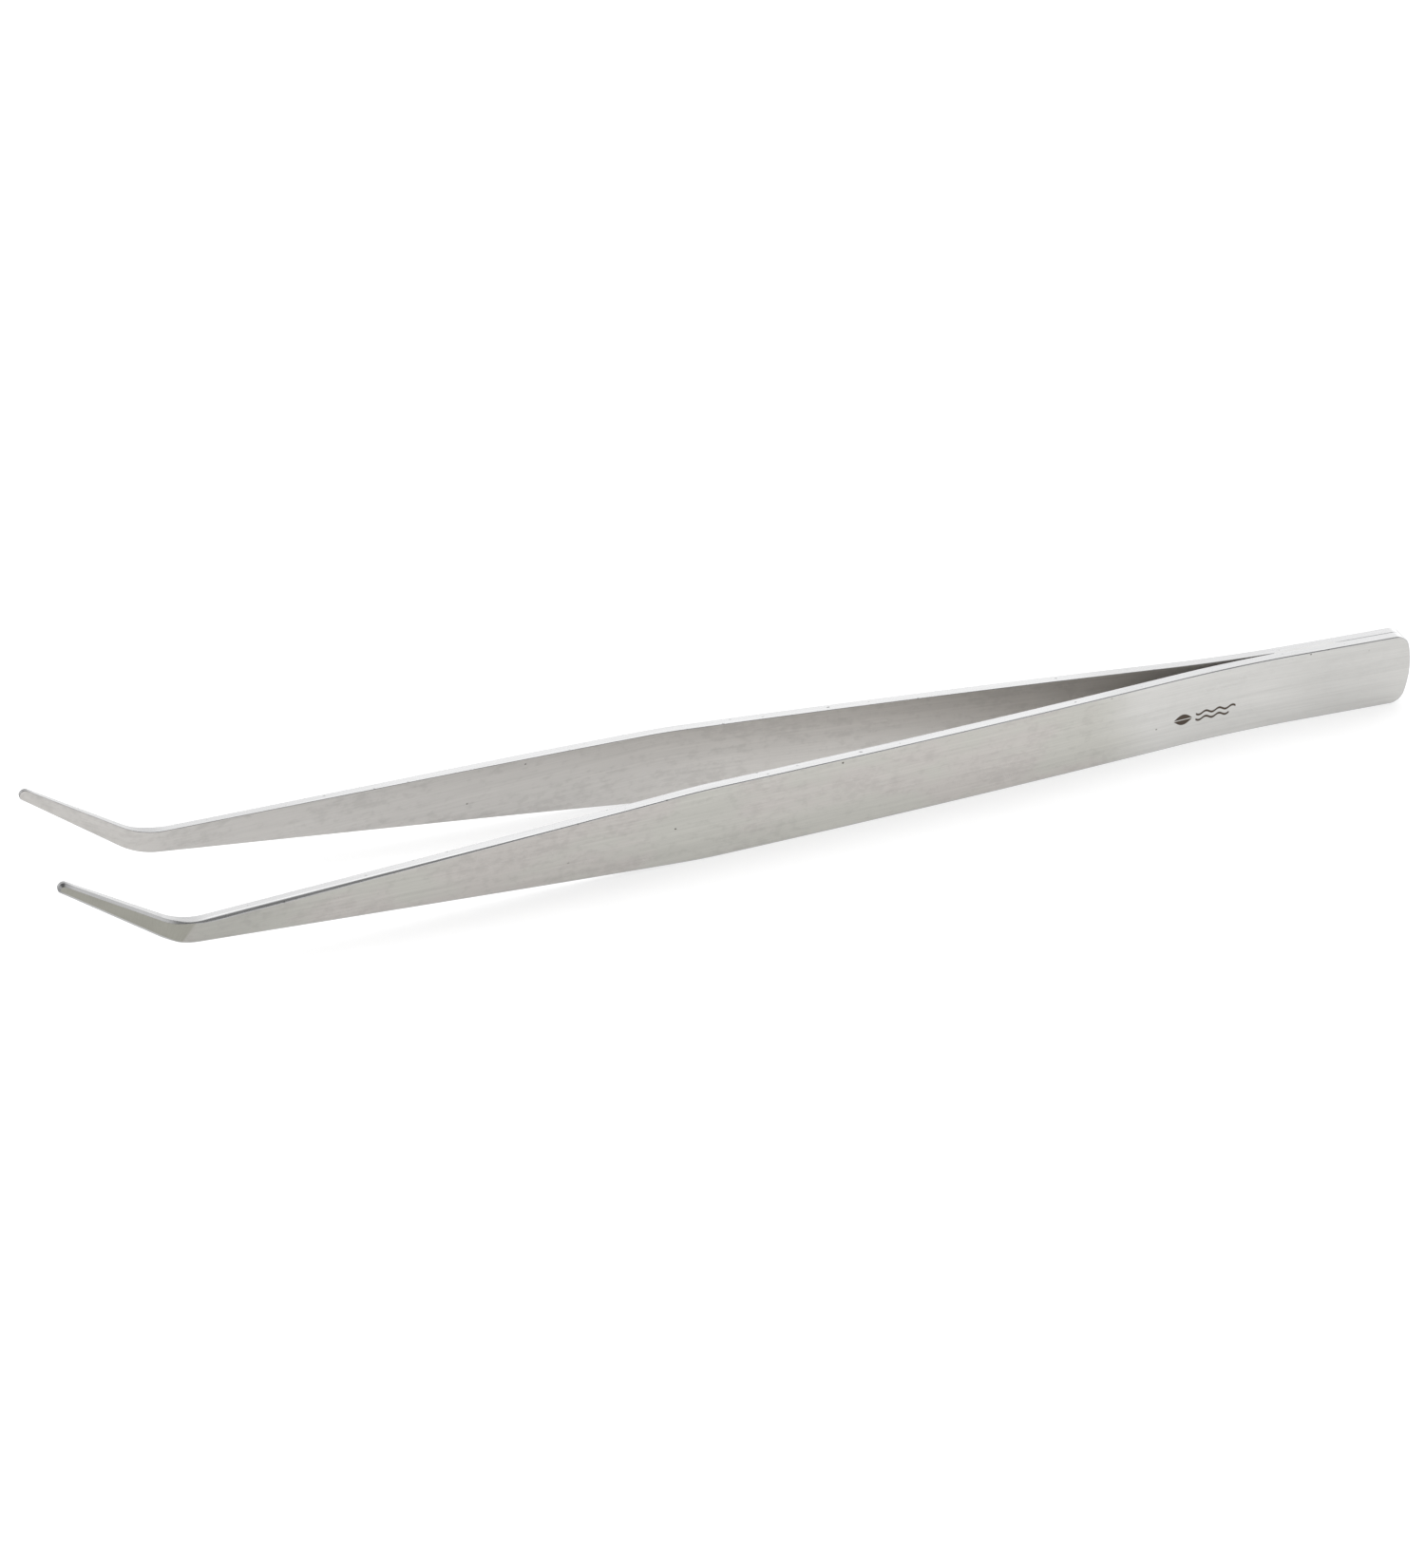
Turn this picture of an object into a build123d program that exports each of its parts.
"""Curved aquascaping tweezers, about 27 cm long, in stainless steel.

Two mirrored spring blades are welded face to face at the heel and spread
apart towards the tips. Each blade is one strip of plate. It is wide and
parallel at the back, tapers to a narrow neck, and there bends upwards in its
own plane into a slim tip, which is ground thinner and bevelled on its outside.

A blade flexes where it leaves the weld. The model turns that flexing into one
hinge, so each blade is split there into a heel piece and an arm piece that
meet in a round knuckle as thick as the plate.

Frame, in millimetres: +X runs from the tips to the heel, +Y from the left
blade to the right one, +Z up. The tweezers stand on their lower edges, and the
origin is the bottom centre of the box around them.
"""
from math import atan, cos, degrees, hypot, radians, sin, sqrt
import os

from build123d import *

# ---- driving dimensions, mm and degrees ----
LENGTH = 270.0             # overall, heel to tips
BLADE_WIDTH = 15.0         # parallel part of the blade
THICKNESS = 2.0            # plate

HEEL_END_RADIUS = 20.0     # bulge of the blade's back end
HEEL_CORNER_RADIUS = 3.0
TAPER_START = 150.0        # all stations are distances from the heel end
TAPER_RADIUS = 130.0       # easing where the taper starts
NECK = 249.0               # where the blade bends upwards
NECK_WIDTH = 3.9
TIP_WIDTH = 2.0            # at the very end
TIP_RISE = 35.0            # angle of the tip above the blade
NECK_INSIDE_RADIUS = 13.0
NECK_OUTSIDE_RADIUS = 13.0
TIP_ROUND = 0.95           # corners of the tip's end

CONTACT = 24.0             # blades lie flat together this far
FLARE_RADIUS = 260.0       # bend that spreads the blades
FLARE_SLOPE = 0.107        # outward slope just after that bend
BOW_END = 188.0            # the slope eases off from the bend to here
FRONT_SLOPE = 0.046        # outward slope from there to the tips

TIP_THICKNESS = 1.2        # plate left at the end by the outer grind
GRIND_LEAD = 1.2           # the grind starts this far behind the neck
TIP_BEVEL = 0.55           # bevel along both outer edges of the tip

HINGE_CLEARANCE = 0.05     # radial gap in the knuckle
WELD_START, WELD_END = 16.0, 29.0     # fused stretch of the two long edges
WELD_DEPTH = 0.8
WELD_WIDTH = 1.6
NUGGET_STATIONS = (8.0, 20.0)         # spot welds inside the heel
NUGGET_DIAMETER = 4.0
NUGGET_THICKNESS = 0.8

# ---- values that follow ----
HALF_WIDTH = BLADE_WIDTH / 2
FLARE = atan(FLARE_SLOPE)
FRONT = atan(FRONT_SLOPE)
FLARE_DEGREES = degrees(FLARE)
FRONT_DEGREES = degrees(FRONT)
RISE = radians(TIP_RISE)
FLARE_END = CONTACT + FLARE_RADIUS * sin(FLARE)
BOW_RADIUS = (BOW_END - FLARE_END) / (sin(FLARE) - sin(FRONT))
OVERRUN = 2.0              # the strip is drawn this much too long, then cut to its outline
BIG = 40.0                 # larger than any section that is cut


def at(station):
    """X of a point that is this far from the heel end."""
    return LENGTH / 2 - station


def hinge_point():
    """X and Y of the right blade's flex axis, in the middle of the plate."""
    radius = FLARE_RADIUS - THICKNESS / 2
    station = CONTACT + radius * sin(FLARE)
    return at(station), FLARE_RADIUS - radius * cos(FLARE)


def face_path(depth, front):
    """Plan curve of the right blade, this deep into the plate from its inner face."""
    heel = Line((at(0), depth), (at(CONTACT), depth))
    flare = JernArc(heel @ 1, heel % 1, FLARE_RADIUS - depth, -FLARE_DEGREES)
    bow = JernArc(flare @ 1, flare % 1, BOW_RADIUS + depth, FLARE_DEGREES - FRONT_DEGREES)
    reach = (bow @ 1).X - at(front)
    tip = Line(bow @ 1, bow @ 1 + Vector(-reach, reach * FRONT_SLOPE))
    return [heel, flare, bow, tip]


def strip_plan():
    """The right blade seen from above: a curved strip of constant thickness."""
    inner = face_path(0, LENGTH + OVERRUN)
    outer = face_path(THICKNESS, LENGTH + OVERRUN)
    ends = [Line(inner[0] @ 0, outer[0] @ 0), Line(inner[-1] @ 1, outer[-1] @ 1)]
    return make_face(inner + outer + ends)


def tip_frame():
    """Neck centre, the tip's direction and upper normal, and the tip's length.

    The length is set so that the rounded lower corner of the tip's end just
    reaches LENGTH.
    """
    along = Vector(-cos(RISE), 0, sin(RISE))
    across = Vector(sin(RISE), 0, cos(RISE))
    lean = (NECK_WIDTH - TIP_WIDTH) / 2 * cos(RISE) / (LENGTH - NECK)
    corner_drop = TIP_WIDTH / 2 + TIP_ROUND * (lean - hypot(1, lean))
    reach = LENGTH - NECK - TIP_ROUND - corner_drop * sin(RISE)
    length = reach / cos(RISE) + TIP_ROUND
    return Vector(at(NECK), 0, HALF_WIDTH), along, across, length


def crossing(start, direction, other, other_direction):
    """Point where two lines in the XZ plane meet."""
    gap = other - start
    cross = direction.X * other_direction.Z - direction.Z * other_direction.X
    reach = (gap.X * other_direction.Z - gap.Z * other_direction.X) / cross
    return start + direction * reach


def blade_edge(side):
    """Corners of the upper (side 1) or lower (side -1) edge, heel to tip."""
    neck, along, across, length = tip_frame()
    taper = Vector(at(TAPER_START), 0, HALF_WIDTH + side * HALF_WIDTH)
    neck_edge = Vector(at(NECK), 0, HALF_WIDTH + side * NECK_WIDTH / 2)
    tip_root = neck + across * (side * NECK_WIDTH / 2)
    tip_end = neck + along * length + across * (side * TIP_WIDTH / 2)
    bend = crossing(taper, neck_edge - taper, tip_root, tip_end - tip_root)
    heel = Vector(at(0), 0, taper.Z)
    return [heel, taper, bend, tip_end]


def side_outline():
    """The blade seen from the side, as a face in the XZ plane."""
    upper = blade_edge(1)
    lower = blade_edge(-1)
    sag = HEEL_END_RADIUS - sqrt(HEEL_END_RADIUS ** 2 - HALF_WIDTH ** 2)
    for edge in (upper, lower):
        edge[0] = edge[0] - Vector(sag, 0, 0)
    back = ThreePointArc(lower[0], Vector(at(0), 0, HALF_WIDTH), upper[0])
    sides = [Polyline(*upper), Line(upper[-1], lower[-1]), Polyline(*lower)]
    face = make_face(sides + [back])
    corners = [(upper[0], HEEL_CORNER_RADIUS), (lower[0], HEEL_CORNER_RADIUS),
               (upper[1], TAPER_RADIUS), (lower[1], TAPER_RADIUS),
               (upper[2], NECK_INSIDE_RADIUS), (lower[2], NECK_OUTSIDE_RADIUS),
               (upper[3], TIP_ROUND), (lower[3], TIP_ROUND)]
    for corner, radius in corners:
        face = fillet(face.vertices().sort_by_distance(corner)[0], radius)
    return face


def outer_face_at(station):
    """Y of the right blade's outer face on its straight front stretch."""
    path = face_path(THICKNESS, station)
    return (path[-1] @ 1).Y


def outer_tip_heights():
    """Y of the outer face where the tip starts, and of the ground face at its end."""
    return outer_face_at(NECK), outer_face_at(LENGTH) - (THICKNESS - TIP_THICKNESS)


def tip_grind():
    """Wedge that grinds the outside of the tip down to TIP_THICKNESS.

    Its face starts on a line across the blade, square to the tip.
    """
    neck, along, across, length = tip_frame()
    start = neck - along * GRIND_LEAD
    root = Vector(start.X, outer_face_at(LENGTH / 2 - start.X), start.Z)
    end = Vector(at(LENGTH), outer_tip_heights()[1], (neck + along * length).Z)
    outward = (end - root).cross(across)
    outward = outward * (1 if outward.Y > 0 else -1)
    plane = Plane(origin=root, x_dir=end - root, z_dir=outward)
    return plane * (Pos(BIG / 2, 0, BIG / 2) * Box(BIG, BIG, BIG))


def tip_bevel(side):
    """Prism that bevels one outer edge of the tip at 45 degrees."""
    root, end = blade_edge(side)[2:]
    start_y, end_y = outer_tip_heights()
    start = Vector(root.X, start_y, root.Z)
    run = (Vector(end.X, end_y, end.Z) - start).normalized()
    outward = Vector(0, 1, 0)
    edge_normal = run.cross(outward).normalized()
    edge_normal = edge_normal * (1 if edge_normal.Z * side > 0 else -1)
    touch = start - edge_normal * TIP_BEVEL
    plane = Plane(origin=touch, x_dir=run, z_dir=edge_normal + outward)
    return plane * (Pos(BIG / 2, 0, BIG / 2) * Box(BIG, BIG, BIG))


def knuckle_split():
    """Plan face in front of the hinge, and the hinge centre."""
    x, y = hinge_point()
    front = Pos(x, y) * Rot(0, 0, -FLARE_DEGREES) * Pos(-LENGTH / 2, 0) * Rectangle(LENGTH, BIG)
    return front, Pos(x, y)


def seam_groove(side, start, end):
    """V-shaped run of edge weld between the blades, along one long edge."""
    edge_z = HALF_WIDTH + side * HALF_WIDTH
    half = WELD_WIDTH / 2
    profile = Polyline((-half, 0), (half, 0), (0, -side * WELD_DEPTH), close=True)
    section = Plane(origin=(at(end), 0, edge_z), x_dir=(0, 1, 0), z_dir=(1, 0, 0))
    return extrude(section * make_face(profile), end - start)


def nuggets():
    """Spot welds buried across the joint face of the heel."""
    pieces = []
    for station in NUGGET_STATIONS:
        place = Pos(at(station), 0, HALF_WIDTH) * Rot(90, 0, 0)
        pieces.append(place * Cylinder(NUGGET_DIAMETER / 2, NUGGET_THICKNESS))
    return pieces


def right_blade():
    """Heel and arm of the right blade, before the welds are let in."""
    outline = extrude(side_outline(), BIG, both=True)
    strip = strip_plan()
    front, hinge = knuckle_split()
    arm_plan = (strip & front) + hinge * Circle(THICKNESS / 2)
    heel_plan = (strip - front) - hinge * Circle(THICKNESS / 2 + HINGE_CLEARANCE)
    arm = extrude(arm_plan, BIG) & outline
    heel = extrude(heel_plan, BIG) & outline
    arm -= tip_grind()
    arm -= tip_bevel(1)
    arm -= tip_bevel(-1)
    return heel, arm


def fitted(shape, cuts):
    """The shape with every cut let into it, as one clean solid."""
    for cut in cuts:
        shape -= cut
    return shape


def build():
    """Every node of the tweezers, by name."""
    right_heel, right_arm = right_blade()
    spot_welds = nuggets()
    grooves = [seam_groove(side, WELD_START, WELD_END) for side in (1, -1)]
    right_heel = fitted(right_heel, spot_welds + grooves)
    nodes = {
        "right_blade_heel": right_heel,
        "right_blade_arm": right_arm,
        "left_blade_heel": mirror(right_heel, Plane.XZ),
        "left_blade_arm": mirror(right_arm, Plane.XZ),
        "edge_weld_top": grooves[0],
        "edge_weld_bottom": grooves[1],
        "spot_welds": Compound(spot_welds),
    }
    return nodes


os.makedirs("parts", exist_ok=True)
for name, shape in build().items():
    export_step(shape, f"parts/{name}.step")
    print(name, round(shape.volume, 2))
print("flex axis of the right blade", [round(value, 4) for value in hinge_point()])
